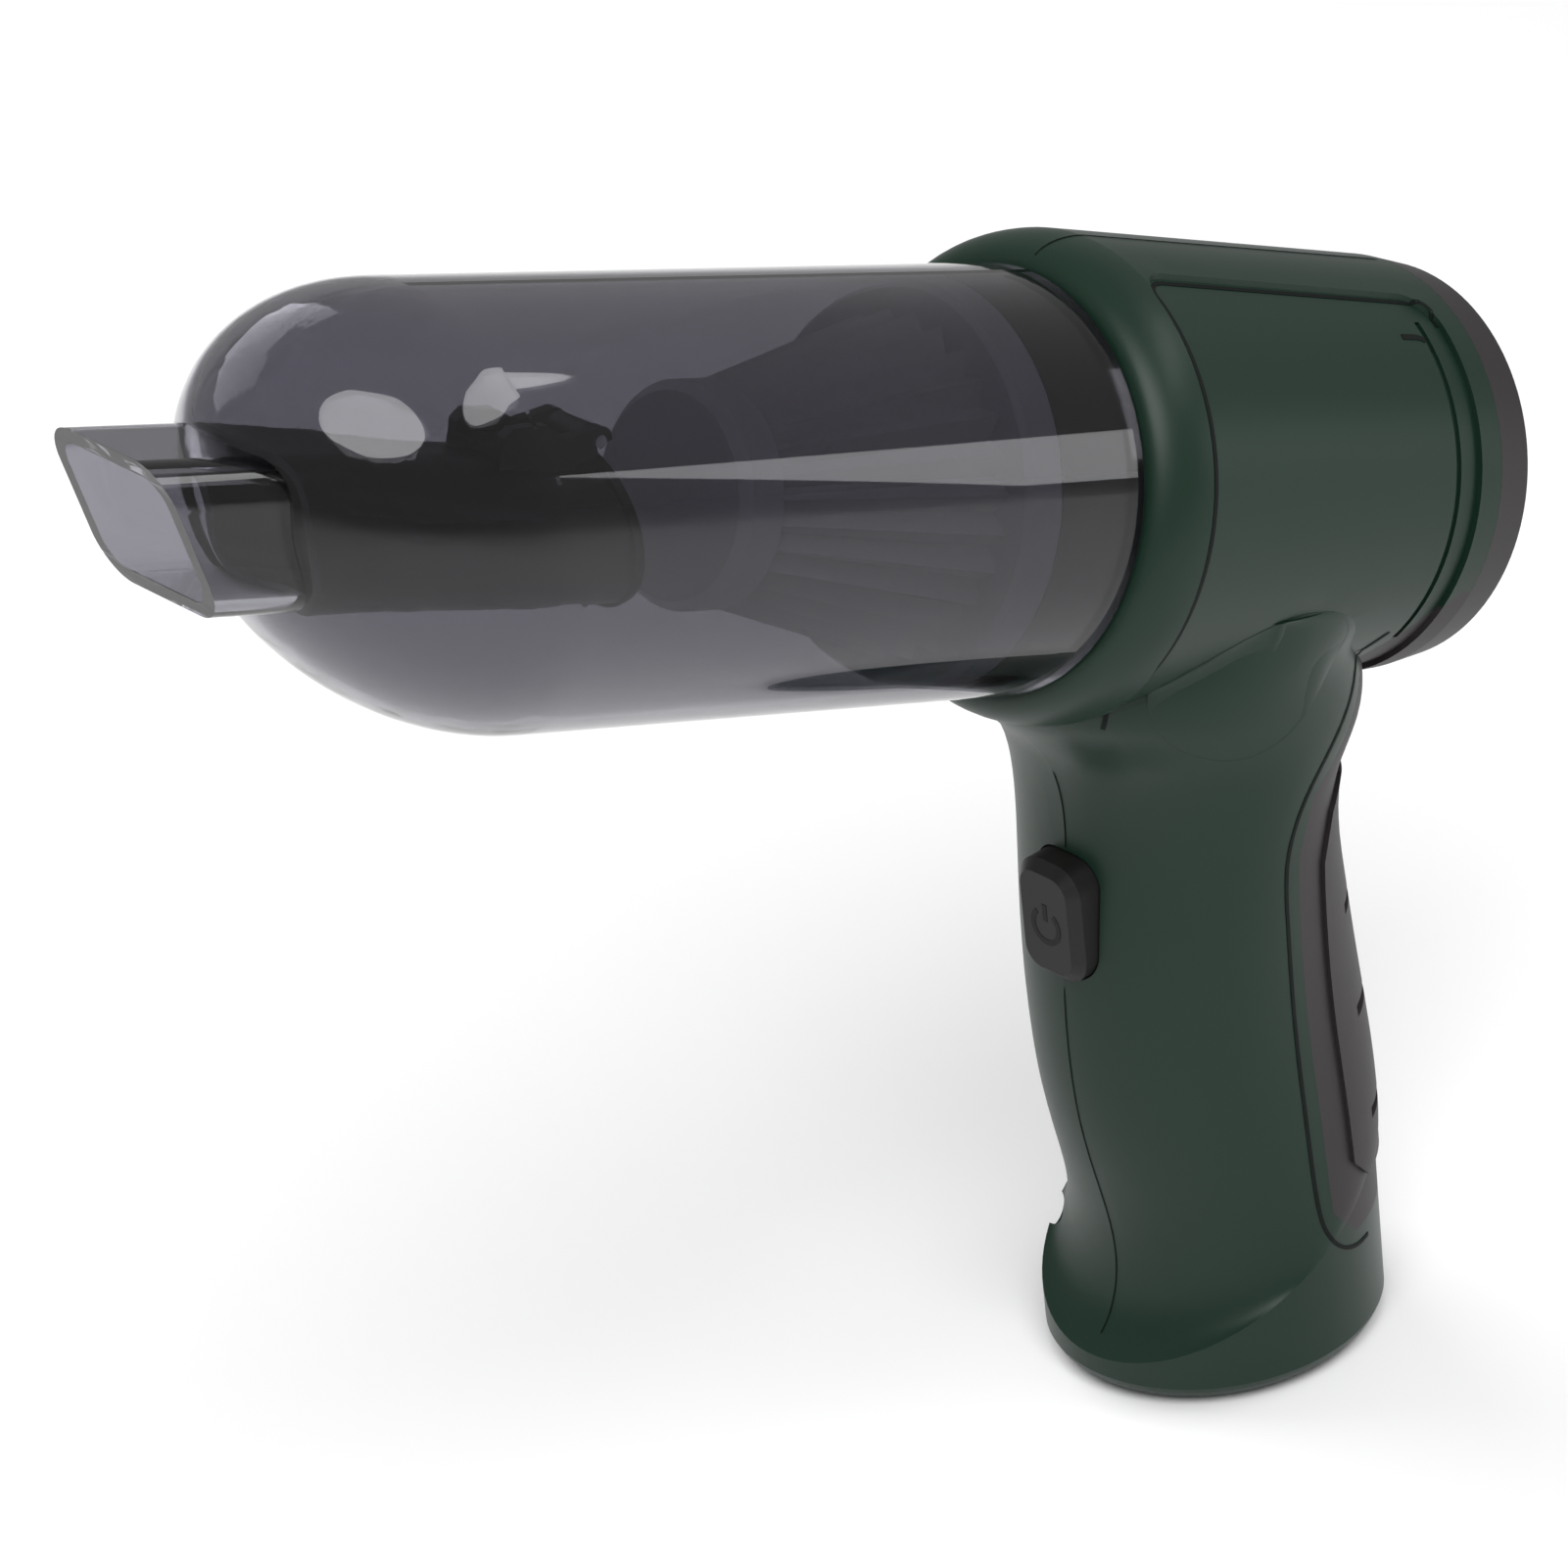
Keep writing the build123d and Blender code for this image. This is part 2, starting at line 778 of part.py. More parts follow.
# ------------------------------------------------------------------ power button
with BuildPart() as power_button:
    with BuildSketch(Plane.YZ.offset(button_face)):
        with Locations((0, button_z)):
            RectangleRounded(button_width, button_height, button_corner)
    extrude(amount=-20.0 - button_face)
    chamfer(power_button.faces().sort_by(Axis.X)[0].edges(), 1.7)
    with BuildSketch(Plane.YZ.offset(-20.2)):
        with Locations((0, button_z)):
            RectangleRounded(button_width + 3.0, button_height + 3.0, button_corner + 1.5)
    extrude(amount=1.2)
    with BuildSketch(Plane.YZ.offset(-19.0)):
        with Locations((0, button_z)):
            Circle(2.0)
    extrude(amount=0.8)
save(power_button.part, "power_button")

# ------------------------------------------------------------------ battery, board and socket
with BuildPart() as battery_cells:
    for half in (1, -1):
        with BuildSketch(Plane.XY.offset(cell_bottom)):
            with Locations((cell_x, half * cell_offset)):
                Circle(cell_radius)
        extrude(amount=cell_length)
        with BuildSketch(Plane.XY.offset(cell_bottom + cell_length)):
            with Locations((cell_x, half * cell_offset)):
                Circle(3.0)
        extrude(amount=1.0)
save(battery_cells.part, "battery_cells")

with BuildPart() as battery_holder:
    with BuildSketch(Plane.XY.offset(cell_bottom - 2)):
        with Locations((cell_x, 0)):
            Rectangle(2 * cell_radius + 3.0, 12.0)
    extrude(amount=cell_length + 5.0)
    with BuildSketch(Plane.XY.offset(cell_bottom - 2)):
        with Locations((cell_x, 0)):
            RectangleRounded(30.0, 41.0, 8.0)
    extrude(amount=2.0)
    with BuildSketch(Plane.XY.offset(cell_bottom + cell_length + 1.0)):
        with Locations((cell_x + 1.0, 0)):
            RectangleRounded(22.4, 41.0, 8.0)
    extrude(amount=2.0)
    with BuildSketch(Plane.YZ.offset(board_back)):
        with Locations((0, 78.0), (0, 86.0)):
            Circle(2.2)
    extrude(amount=3.0)
    for half in (1, -1):
        with BuildSketch(Plane.XY.offset(cell_bottom)):
            with Locations((cell_x, half * cell_offset)):
                Circle(cell_radius + 0.05)
        extrude(amount=cell_length + 1.0, mode=Mode.SUBTRACT)
save(battery_holder.part, "battery_holder")

with BuildPart() as control_board:
    with BuildSketch(Plane.YZ.offset(board_back)):
        with Locations((0, 91.0)):
            Rectangle(24.0, 34.0)
    extrude(amount=-1.6)
    with BuildSketch(Plane.YZ.offset(board_back - 1.6)):
        with Locations((6.5, 79.0), (-6.5, 79.0)):
            Rectangle(5.0, 6.0)
        with Locations((0, 104.0)):
            Rectangle(12.0, 4.0)
    extrude(amount=-1.8)
save(control_board.part, "control_board")

with BuildPart() as power_switch:
    with BuildSketch(Plane.YZ.offset(board_back - 1.6)):
        with Locations((0, button_z)):
            RectangleRounded(6.0, 6.0, 0.6)
    extrude(amount=-3.0)
    with BuildSketch(Plane.YZ.offset(board_back - 4.6)):
        with Locations((0, button_z)):
            Circle(1.6)
    extrude(amount=-0.6)
save(power_switch.part, "power_switch")

with BuildPart() as charge_socket:
    with BuildSketch(Plane.XY.offset(0.5)):
        with Locations((socket_x, 0)):
            Circle(socket_radius)
    extrude(amount=10.5)
    with BuildSketch(Plane.XY.offset(wall)):
        with Locations((socket_x, 0)):
            Circle(socket_radius + 1.6)
    extrude(amount=1.6)
    with BuildSketch(Plane.XY):
        with Locations((socket_x, 0)):
            Circle(2.75)
    extrude(amount=9.0, mode=Mode.SUBTRACT)
    with BuildSketch(Plane.XY.offset(2.0)):
        with Locations((socket_x, 0)):
            Circle(0.9)
    extrude(amount=8.0)
save(charge_socket.part, "charge_socket")
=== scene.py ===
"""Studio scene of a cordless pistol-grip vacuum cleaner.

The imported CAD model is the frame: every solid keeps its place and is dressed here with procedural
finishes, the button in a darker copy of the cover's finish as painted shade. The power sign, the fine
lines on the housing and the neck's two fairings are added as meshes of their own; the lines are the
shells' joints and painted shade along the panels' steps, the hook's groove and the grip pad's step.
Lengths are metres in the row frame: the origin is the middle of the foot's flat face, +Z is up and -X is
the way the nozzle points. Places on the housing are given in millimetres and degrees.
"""

import json
import logging
from dataclasses import dataclass
from enum import Enum
from math import cos, pi, radians, sin

import bmesh
import bpy
from mathutils import Matrix, Vector
from mathutils.bvhtree import BVHTree

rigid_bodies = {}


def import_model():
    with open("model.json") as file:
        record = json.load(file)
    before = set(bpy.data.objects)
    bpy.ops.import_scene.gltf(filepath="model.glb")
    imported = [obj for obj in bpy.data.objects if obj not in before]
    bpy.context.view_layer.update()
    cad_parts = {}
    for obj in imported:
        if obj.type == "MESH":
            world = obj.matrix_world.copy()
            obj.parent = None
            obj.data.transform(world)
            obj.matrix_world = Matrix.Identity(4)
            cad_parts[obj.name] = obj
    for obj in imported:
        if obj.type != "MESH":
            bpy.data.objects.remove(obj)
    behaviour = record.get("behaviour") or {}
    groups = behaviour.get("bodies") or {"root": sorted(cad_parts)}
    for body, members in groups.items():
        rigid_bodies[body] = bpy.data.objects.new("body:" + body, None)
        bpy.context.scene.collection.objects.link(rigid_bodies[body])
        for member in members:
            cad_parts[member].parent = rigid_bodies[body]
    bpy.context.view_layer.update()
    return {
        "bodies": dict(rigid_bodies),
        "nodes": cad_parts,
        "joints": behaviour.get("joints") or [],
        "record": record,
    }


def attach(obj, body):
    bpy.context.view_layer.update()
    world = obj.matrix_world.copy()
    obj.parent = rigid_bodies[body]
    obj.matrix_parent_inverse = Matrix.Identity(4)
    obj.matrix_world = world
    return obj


log = logging.getLogger("vacuum_scene")

MILLIMETRE = 0.001

# the barrel's frame: its lean, the middle of the cup's rim and its three directions
LEAN = radians(20.0)
RIM = Vector((-0.0317, 0.0, 0.1685))
ALONG = Vector((cos(LEAN), 0.0, -sin(LEAN)))
RISE = Vector((sin(LEAN), 0.0, cos(LEAN)))
ACROSS = Vector((0.0, 1.0, 0.0))


def barrel_vector(x: float, y: float, z: float) -> Vector:
    """Turns a direction from the barrel's frame into the row frame.

    Args:
        x: its part along the barrel, rearward.
        y: its part across the barrel, to the right.
        z: its part square to both, upward.

    Returns:
        The direction in the row frame.
    """
    return ALONG * x + ACROSS * y + RISE * z


def barrel_point(x: float, y: float, z: float) -> Vector:
    """Carries a point from the barrel's frame into the row frame.

    Args:
        x: metres behind the cup's rim.
        y: metres to the right of the barrel's axis.
        z: metres above the barrel's axis.

    Returns:
        The point in the row frame.
    """
    return RIM + barrel_vector(x, y, z)


def placed(name: str, mesh: bmesh.types.BMesh, material: bpy.types.Material) -> bpy.types.Object:
    """Turns a finished bmesh into an object of the scene and frees the bmesh.

    Args:
        name: the object's name.
        mesh: the finished bmesh.
        material: the object's material.

    Returns:
        The new object, at the origin.
    """
    data = bpy.data.meshes.new(name)
    mesh.to_mesh(data)
    mesh.free()
    data.materials.append(material)
    thing = bpy.data.objects.new(name, data)
    bpy.context.scene.collection.objects.link(thing)
    log.info("%s: %d faces", name, len(data.polygons))
    return thing


# ------------------------------------------------------------------ shader helpers
GRAIN_DEPTH = 0.00006
SCUFF_STRETCH = (1.0, 1.0, 3.2)


class GroupName(Enum):
    """The names of the shared shader groups."""

    GRAIN = "moulded_grain"
    DUST = "fine_wear"
    PAPER = "paper_fibre"


class Tree:
    """A thin wrapper that adds and links nodes in one node tree."""

    def __init__(self, tree: bpy.types.NodeTree) -> None:
        """Args:
            tree: the node tree to write to.
        """
        self.tree = tree

    def add(self, kind: str, **values: object) -> bpy.types.Node:
        """Adds a node and sets its properties.

        Args:
            kind: the node's type name.
            values: properties by name.

        Returns:
            The new node.
        """
        node = self.tree.nodes.new(kind)
        for name, value in values.items():
            setattr(node, name, value)
        return node

    def link(self, start: bpy.types.NodeSocket, end: bpy.types.NodeSocket) -> None:
        """Links two sockets.

        Args:
            start: the output that gives the value.
            end: the input that takes it.
        """
        self.tree.links.new(start, end)


def new_group(
    name: GroupName,
    inputs: dict[str, float],
    outputs: dict[str, str],
) -> tuple[Tree, bpy.types.Node, bpy.types.Node]:
    """Starts a shader group with float inputs and typed outputs.

    Args:
        name: which group.
        inputs: default value of each float input.
        outputs: socket type of each output.

    Returns:
        The group's tree, its input node and its output node.
    """
    group = bpy.data.node_groups.new(name.value, "ShaderNodeTree")
    for label, value in inputs.items():
        socket = group.interface.new_socket(name=label, in_out="INPUT", socket_type="NodeSocketFloat")
        socket.default_value = value
    for label, kind in outputs.items():
        group.interface.new_socket(name=label, in_out="OUTPUT", socket_type=kind)
    tree = Tree(group)
    return tree, tree.add("NodeGroupInput"), tree.add("NodeGroupOutput")


def grain_group() -> None:
    """Makes the fine spark-eroded grain of a satin moulding, given as a normal."""
    tree, inputs, outputs = new_group(
        GroupName.GRAIN,
        {"Scale": 2600.0, "Strength": 0.06},
        {"Normal": "NodeSocketVector"},
    )
    place = tree.add("ShaderNodeTexCoord")
    noise = tree.add("ShaderNodeTexNoise")
    noise.inputs["Detail"].default_value = 2.0
    tree.link(place.outputs["Object"], noise.inputs["Vector"])
    tree.link(inputs.outputs["Scale"], noise.inputs["Scale"])
    bump = tree.add("ShaderNodeBump")
    bump.inputs["Distance"].default_value = GRAIN_DEPTH
    tree.link(inputs.outputs["Strength"], bump.inputs["Strength"])
    tree.link(noise.outputs["Fac"], bump.inputs["Height"])
    tree.link(bump.outputs["Normal"], outputs.inputs["Normal"])


def dust_group() -> None:
    """Makes sparse short scuffs and specks, given as a mask."""
    tree, inputs, outputs = new_group(
        GroupName.DUST,
        {"Scale": 46.0, "Cut": 0.76},
        {"Mask": "NodeSocketFloat"},
    )
    place = tree.add("ShaderNodeTexCoord")
    stretch = tree.add("ShaderNodeMapping")
    stretch.inputs["Scale"].default_value = SCUFF_STRETCH
    noise = tree.add("ShaderNodeTexNoise")
    noise.inputs["Detail"].default_value = 7.0
    noise.inputs["Roughness"].default_value = 0.72
    edge = tree.add("ShaderNodeMath", operation="GREATER_THAN")
    tree.link(place.outputs["Object"], stretch.inputs["Vector"])
    tree.link(stretch.outputs["Vector"], noise.inputs["Vector"])
    tree.link(inputs.outputs["Scale"], noise.inputs["Scale"])
    tree.link(noise.outputs["Fac"], edge.inputs[0])
    tree.link(inputs.outputs["Cut"], edge.inputs[1])
    tree.link(edge.outputs["Value"], outputs.inputs["Mask"])


def paper_group() -> None:
    """Makes soft cloudy fibre for paper and foam, given as a mask."""
    tree, inputs, outputs = new_group(
        GroupName.PAPER,
        {"Scale": 700.0},
        {"Cloud": "NodeSocketFloat"},
    )
    place = tree.add("ShaderNodeTexCoord")
    noise = tree.add("ShaderNodeTexNoise")
    noise.inputs["Detail"].default_value = 4.0
    tree.link(place.outputs["Object"], noise.inputs["Vector"])
    tree.link(inputs.outputs["Scale"], noise.inputs["Scale"])
    tree.link(noise.outputs["Fac"], outputs.inputs["Cloud"])


# ------------------------------------------------------------------ finishes
SCUFF_LIFT = 1.5
FIBRE_LIFT = 0.82
MIX_OFFSET = 0.004


@dataclass(frozen=True)
class Finish:
    """A moulded or metal finish.

    Args:
        name: the material's name.
        color: linear base colour.
        roughness: the surface's roughness.
        metallic: 1 for bare metal.
        grain: strength of the fine moulded grain, 0 for none.
        wear: True where light scuffs show.
        cloud: True for paper and foam, whose colour is slightly mottled.
        specular: specular level.
    """

    name: str
    color: tuple[float, float, float]
    roughness: float = 0.5
    metallic: float = 0.0
    grain: float = 0.0
    wear: bool = False
    cloud: bool = False
    specular: float = 0.5

    def make(self) -> bpy.types.Material:
        """Builds the material.

        Returns:
            The new material.
        """
        material = bpy.data.materials.new(self.name)
        material.use_nodes = True
        tree = Tree(material.node_tree)
        shader = material.node_tree.nodes["Principled BSDF"]
        shader.inputs["Base Color"].default_value = (*self.color, 1.0)
        shader.inputs["Roughness"].default_value = self.roughness
        shader.inputs["Metallic"].default_value = self.metallic
        shader.inputs["Specular IOR Level"].default_value = self.specular
        if self.grain:
            group = tree.add("ShaderNodeGroup")
            group.node_tree = bpy.data.node_groups[GroupName.GRAIN.value]
            group.inputs["Strength"].default_value = self.grain
            tree.link(group.outputs["Normal"], shader.inputs["Normal"])
        if self.wear or self.cloud:
            kind = GroupName.DUST if self.wear else GroupName.PAPER
            group = tree.add("ShaderNodeGroup")
            group.node_tree = bpy.data.node_groups[kind.value]
            mix = tree.add("ShaderNodeMix", data_type="RGBA")
            lift = SCUFF_LIFT if self.wear else FIBRE_LIFT
            mix.inputs["A"].default_value = (*self.color, 1.0)
            mix.inputs["B"].default_value = (*(min(1.0, c * lift + MIX_OFFSET) for c in self.color), 1.0)
            tree.link(group.outputs[0], mix.inputs["Factor"])
            tree.link(mix.outputs["Result"], shader.inputs["Base Color"])
        return material


@dataclass(frozen=True)
class ClearFinish:
    """A clear tinted plastic.

    Args:
        name: the material's name.
        tint: the colour that one wall lets through.
        ior: its refractive index.
        roughness: the surface's roughness.
    """

    name: str
    tint: tuple[float, float, float]
    ior: float = 1.45
    roughness: float = 0.02

    def make(self) -> bpy.types.Material:
        """Builds the material.

        Returns:
            The new material.
        """
        material = bpy.data.materials.new(self.name)
        material.use_nodes = True
        shader = material.node_tree.nodes["Principled BSDF"]
        shader.inputs["Base Color"].default_value = (*self.tint, 1.0)
        shader.inputs["Roughness"].default_value = self.roughness
        shader.inputs["Transmission Weight"].default_value = 1.0
        shader.inputs["IOR"].default_value = self.ior
        return material


FINISHES: dict[str, Finish | ClearFinish] = {
    "housing_green": Finish(
        "housing_green", (0.0060, 0.0215, 0.0130), 0.40, grain=0.05, wear=True, specular=0.28
    ),
    "cover_charcoal": Finish("cover_charcoal", (0.019, 0.016, 0.016), 0.50, grain=0.12, specular=0.32),
    "grip_charcoal": Finish("grip_charcoal", (0.024, 0.020, 0.022), 0.56, grain=0.16, specular=0.36),
    "cup_smoke": ClearFinish("cup_smoke", (0.27, 0.265, 0.30)),
    "duct_black": Finish("duct_black", (0.0045, 0.0045, 0.0055), 0.30, grain=0.02, specular=0.3),
    "filter_grey": Finish("filter_grey", (0.42, 0.42, 0.46), 0.48, grain=0.03),
    "filter_media": Finish("filter_media", (0.52, 0.51, 0.53), 0.90, cloud=True),
    "seal_rubber": Finish("seal_rubber", (0.014, 0.014, 0.014), 0.62),
    "steel": Finish("steel", (0.50, 0.50, 0.51), 0.28, metallic=1.0),
    "motor_steel": Finish("motor_steel", (0.42, 0.42, 0.43), 0.36, metallic=1.0),
    "copper": Finish("copper", (0.75, 0.33, 0.17), 0.34, metallic=1.0),
    "ferrite": Finish("ferrite", (0.055, 0.055, 0.060), 0.70),
    "cell_wrap": Finish("cell_wrap", (0.03, 0.19, 0.27), 0.34),
    "board_green": Finish("board_green", (0.012, 0.11, 0.045), 0.40),
    "foam": Finish("foam", (0.040, 0.040, 0.042), 0.95, cloud=True),
    # the button: the cover's charcoal made darker, painted shade against the key light that falls on its
    # face
    "button_shaded_charcoal": Finish("button_shaded_charcoal", (0.009, 0.008, 0.008), 0.50, grain=0.12, specular=0.3),
    # dark lines: the joints' own colour, and painted shade along the panels' steps, the hook's groove and
    # the pad's step
    "joint_and_shade_green": Finish("joint_and_shade_green", (0.0012, 0.0032, 0.0021), 0.7, specular=0.2),
    "sign_black": Finish("sign_black", (0.0022, 0.0020, 0.0020), 0.5, specular=0.2),
}


class Wardrobe:
    """Makes each finish once and hands it out by name."""

    def __init__(self) -> None:
        """Makes the shared shader groups."""
        grain_group()
        dust_group()
        paper_group()
        self.made: dict[str, bpy.types.Material] = {}

    def get(self, slot: str) -> bpy.types.Material:
        """Gives the material of a slot, made on first use.

        Args:
            slot: the record's material slot, or the name of one of this script's own finishes.

        Returns:
            The slot's material.
        """
        if slot not in self.made:
            self.made[slot] = FINISHES[slot].make()
        return self.made[slot]


# ------------------------------------------------------------------ the frame's own solids
@dataclass
class CadPieces:
    """Dresses the solids that come with the frame.

    Args:
        wardrobe: the finishes.
    """

    frame: dict
    wardrobe: Wardrobe

    def dress(self) -> None:
        """Gives every solid the finish of its slot, and the button a darker copy of the cover's charcoal as
        painted shade against the key light.
        """
        slots = {entry["node"]: entry["material_slot"] for entry in self.frame["record"]["subparts"]}
        # the button's darker finish is painted shade against the key light
        slots["power_button"] = "button_shaded_charcoal"
        for name, thing in self.frame["nodes"].items():
            material = self.wardrobe.get(slots[name])
            if thing.material_slots:
                for holder in thing.material_slots:
                    holder.material = material
            else:
                thing.data.materials.append(material)
            log.info("dressed %s in %s", name, material.name)


# ------------------------------------------------------------------ the button's sign
@dataclass
class PowerSign:
    """The sign on the button: a ring open at the top and an upright bar in the gap.

    Args:
        wardrobe: the finishes.
        centre: middle of the ring, on the button's face.
        radius: the ring's middle radius.
        stroke: width of the ring and the bar.
        depth: the sign's thickness.
        gap: half angle of the ring's opening.
        bar_length: the bar's length as a share of the radius.
        bar_rise: how far the bar's middle is above the centre, as a share of the radius.
        steps: segments round the ring.
    """

    wardrobe: Wardrobe
    centre: tuple[float, float, float] = (-0.0293, 0.0, 0.0882)
    radius: float = 0.0029
    stroke: float = 0.0010
    depth: float = 0.00006
    gap: float = radians(38.0)
    bar_length: float = 1.05
    bar_rise: float = 0.86
    steps: int = 40

    def ring(self, mesh: bmesh.types.BMesh) -> None:
        """Adds the open ring, a flat bar's section spun about the ring's axis.

        Args:
            mesh: the bmesh to add it to.
        """
        section = bmesh.ops.create_grid(mesh, x_segments=1, y_segments=1, size=0.5)["verts"]
        bmesh.ops.scale(mesh, vec=(self.depth, self.stroke, 1.0), verts=section)
        bmesh.ops.rotate(mesh, matrix=Matrix.Rotation(pi / 2, 3, "X"), verts=section)
        bmesh.ops.translate(mesh, vec=(-self.depth / 2, 0.0, self.radius), verts=section)
        bmesh.ops.rotate(mesh, matrix=Matrix.Rotation(-self.gap, 3, "X"), verts=section)
        faces = list({face for vert in section for face in vert.link_faces})
        bmesh.ops.spin(
            mesh,
            geom=[*section, *{edge for vert in section for edge in vert.link_edges}, *faces],
            cent=(0.0, 0.0, 0.0),
            axis=(1.0, 0.0, 0.0),
            angle=2 * self.gap - 2 * pi,
            steps=self.steps,
            use_merge=False,
        )

    def bar(self, mesh: bmesh.types.BMesh) -> None:
        """Adds the upright bar.

        Args:
            mesh: the bmesh to add it to.
        """
        made = bmesh.ops.create_cube(mesh, size=1.0)["verts"]
        bmesh.ops.scale(mesh, vec=(self.depth, self.stroke, self.radius * self.bar_length), verts=made)
        bmesh.ops.translate(mesh, vec=(-self.depth / 2, 0.0, self.radius * self.bar_rise), verts=made)

    def build(self) -> None:
        """Builds the sign on the button."""
        mesh = bmesh.new()
        self.ring(mesh)
        self.bar(mesh)
        bmesh.ops.translate(mesh, vec=self.centre, verts=mesh.verts)
        bmesh.ops.recalc_face_normals(mesh, faces=mesh.faces)
        sign = placed("power_sign", mesh, self.wardrobe.get("sign_black"))
        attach(sign, "power_button")


# ------------------------------------------------------------------ looks at the housing
STANDOFF = 0.12
BESIDE_SEAM = -0.0002
CORNER_SHARE = 0.25


@dataclass(frozen=True)
class Probe:
    """A straight look at the housing from outside, whose first hit is a point on it.

    Args:
        start: where it starts, well clear of the housing.
        way: the way it goes.
    """

    start: Vector
    way: Vector

    def towards(self, other: "Probe", share: float) -> "Probe":
        """Gives a probe between this one and another.

        Args:
            other: the other probe.
            share: how far to go towards it, 0 for this one and 1 for the other.

        Returns:
            The probe in between.
        """
        return Probe(self.start.lerp(other.start, share), self.way.lerp(other.way, share).normalized())


def eased(probes: list[Probe], rounds: int = 3) -> list[Probe]:
    """Cuts the corners of a course of probes, so that it bends smoothly and its ends stay.

    Args:
        probes: the course's corners.
        rounds: how many times the corners are cut.

    Returns:
        The smoother course.
    """
    for _ in range(rounds):
        cut = []
        for one, two in zip(probes, probes[1:]):
            cut += [one.towards(two, CORNER_SHARE), one.towards(two, 1.0 - CORNER_SHARE)]
        probes = [probes[0], *cut, probes[-1]]
    return probes


def barrel_probe(x: float, turn: float) -> Probe:
    """Looks at the barrel's axis from outside.

    Args:
        x: millimetres behind the cup's rim.
        turn: degrees from the barrel's top, negative on the left side.

    Returns:
        The probe.
    """
    out = barrel_vector(0.0, sin(radians(turn)), cos(radians(turn)))
    return Probe(barrel_point(x * MILLIMETRE, 0.0, 0.0) + out * STANDOFF, -out)


def front_probe(z: float) -> Probe:
    """Looks at the handle's front from ahead, just beside the shells' joint.

    Args:
        z: millimetres above the foot.

    Returns:
        The probe.
    """
    return Probe(Vector((-STANDOFF, BESIDE_SEAM, z * MILLIMETRE)), Vector((1.0, 0.0, 0.0)))


def side_probe(x: float, z: float, half: int) -> Probe:
    """Looks at one side of the handle, square to the middle plane.

    Args:
        x: millimetres behind the foot's middle.
        z: millimetres above the foot.
        half: -1 for the left side and 1 for the right.

    Returns:
        The probe.
    """
    start = Vector((x * MILLIMETRE, half * STANDOFF, z * MILLIMETRE))
    return Probe(start, Vector((0.0, -half, 0.0)))


@dataclass(frozen=True)
class Surface:
    """The outside of the housing's solids.

    Args:
        trees: the solids, ready for casting.
    """

    trees: tuple[BVHTree, ...]

    def hit(self, probe: Probe) -> tuple[Vector, Vector] | None:
        """Casts one probe.

        Args:
            probe: the look to cast.

        Returns:
            The nearest hit and the surface's outward normal there, or None.
        """
        hits = [tree.ray_cast(probe.start, probe.way) for tree in self.trees]
        hits = [hit for hit in hits if hit[0] is not None]
        if not hits:
            return None
        place, normal, _, _ = min(hits, key=lambda hit: hit[3])
        return place, normal if normal.dot(probe.way) < 0 else -normal

    def sweep(self, one: Probe, two: Probe, shares: list[float]) -> list[tuple[Vector, Vector]]:
        """Casts the probes between two probes.

        Args:
            one: the probe at share 0.
            two: the probe at share 1.
            shares: the shares to cast at.

        Returns:
            The hits with their normals, without the shares that miss.
        """
        hits = [self.hit(one.towards(two, share)) for share in shares]
        return [hit for hit in hits if hit is not None]


# ------------------------------------------------------------------ lines on the housing
@dataclass
class SurfaceLine:
    """A fine dark line on the housing: in a joint it is the joint's own dark colour, along a step or groove
    it is painted shade.

    Args:
        name: the piece's name.
        probes: the looks whose hits are the line's corners.
        surface: what it lies on.
        material: its material.
        width: how wide it is.
        proud: how far it stands from the surface.
        thickness: how thick it is, as a share of that.
        spacing: the greatest distance between its points.
        blind_reach: the distance assumed where an end's look misses.
    """

    name: str
    probes: list[Probe]
    surface: Surface
    material: bpy.types.Material
    width: float
    proud: float = 0.00005
    thickness: float = 1.5
    spacing: float = 0.0014
    blind_reach: float = 0.02

    def laid(self) -> list[tuple[Vector, Vector]]:
        """Lays the line on the housing.

        Returns:
            Its points with the surface's normals.
        """
        found = []
        for one, two in zip(self.probes, self.probes[1:]):
            ends = self.surface.hit(one), self.surface.hit(two)
            reach = (ends[0][0] - ends[1][0]).length if all(ends) else self.blind_reach
            count = max(1, round(reach / self.spacing))
            found += self.surface.sweep(one, two, [number / count for number in range(count)])
        return found

    def edges(self) -> list[tuple[Vector, Vector]]:
        """Works out the line's two sides.

        Returns:
            Its left and right point at each step.
        """
        path = self.laid()
        pairs = []
        for number, (place, normal) in enumerate(path):
            before = path[max(0, number - 1)][0]
            after = path[min(len(path) - 1, number + 1)][0]
            sideways = (after - before).cross(normal).normalized() * self.width / 2
            pairs.append((place + normal * self.proud - sideways, place + normal * self.proud + sideways))
        return pairs

    def build(self) -> None:
        """Grows the line edge by edge as a thin closed strip that rides on the housing."""
        pairs = self.edges()
        mesh = bmesh.new()
        edge = mesh.edges.new([mesh.verts.new(point) for point in pairs[0]])
        for pair in pairs[1:]:
            old = list(edge.verts)
            grown = bmesh.ops.extrude_edge_only(mesh, edges=[edge])["geom"]
            edge = next(item for item in grown if isinstance(item, bmesh.types.BMEdge))
            same_way = (old[0].co - old[1].co).dot(pair[0] - pair[1]) > 0
            for vert in edge.verts:
                nearest = min(range(2), key=lambda index: (vert.co - old[index].co).length)
                vert.co = pair[nearest if same_way else 1 - nearest]
        bmesh.ops.solidify(mesh, geom=list(mesh.faces), thickness=self.proud * self.thickness)
        bmesh.ops.recalc_face_normals(mesh, faces=mesh.faces)
        line = placed(self.name, mesh, self.material)
        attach(line, "housing")


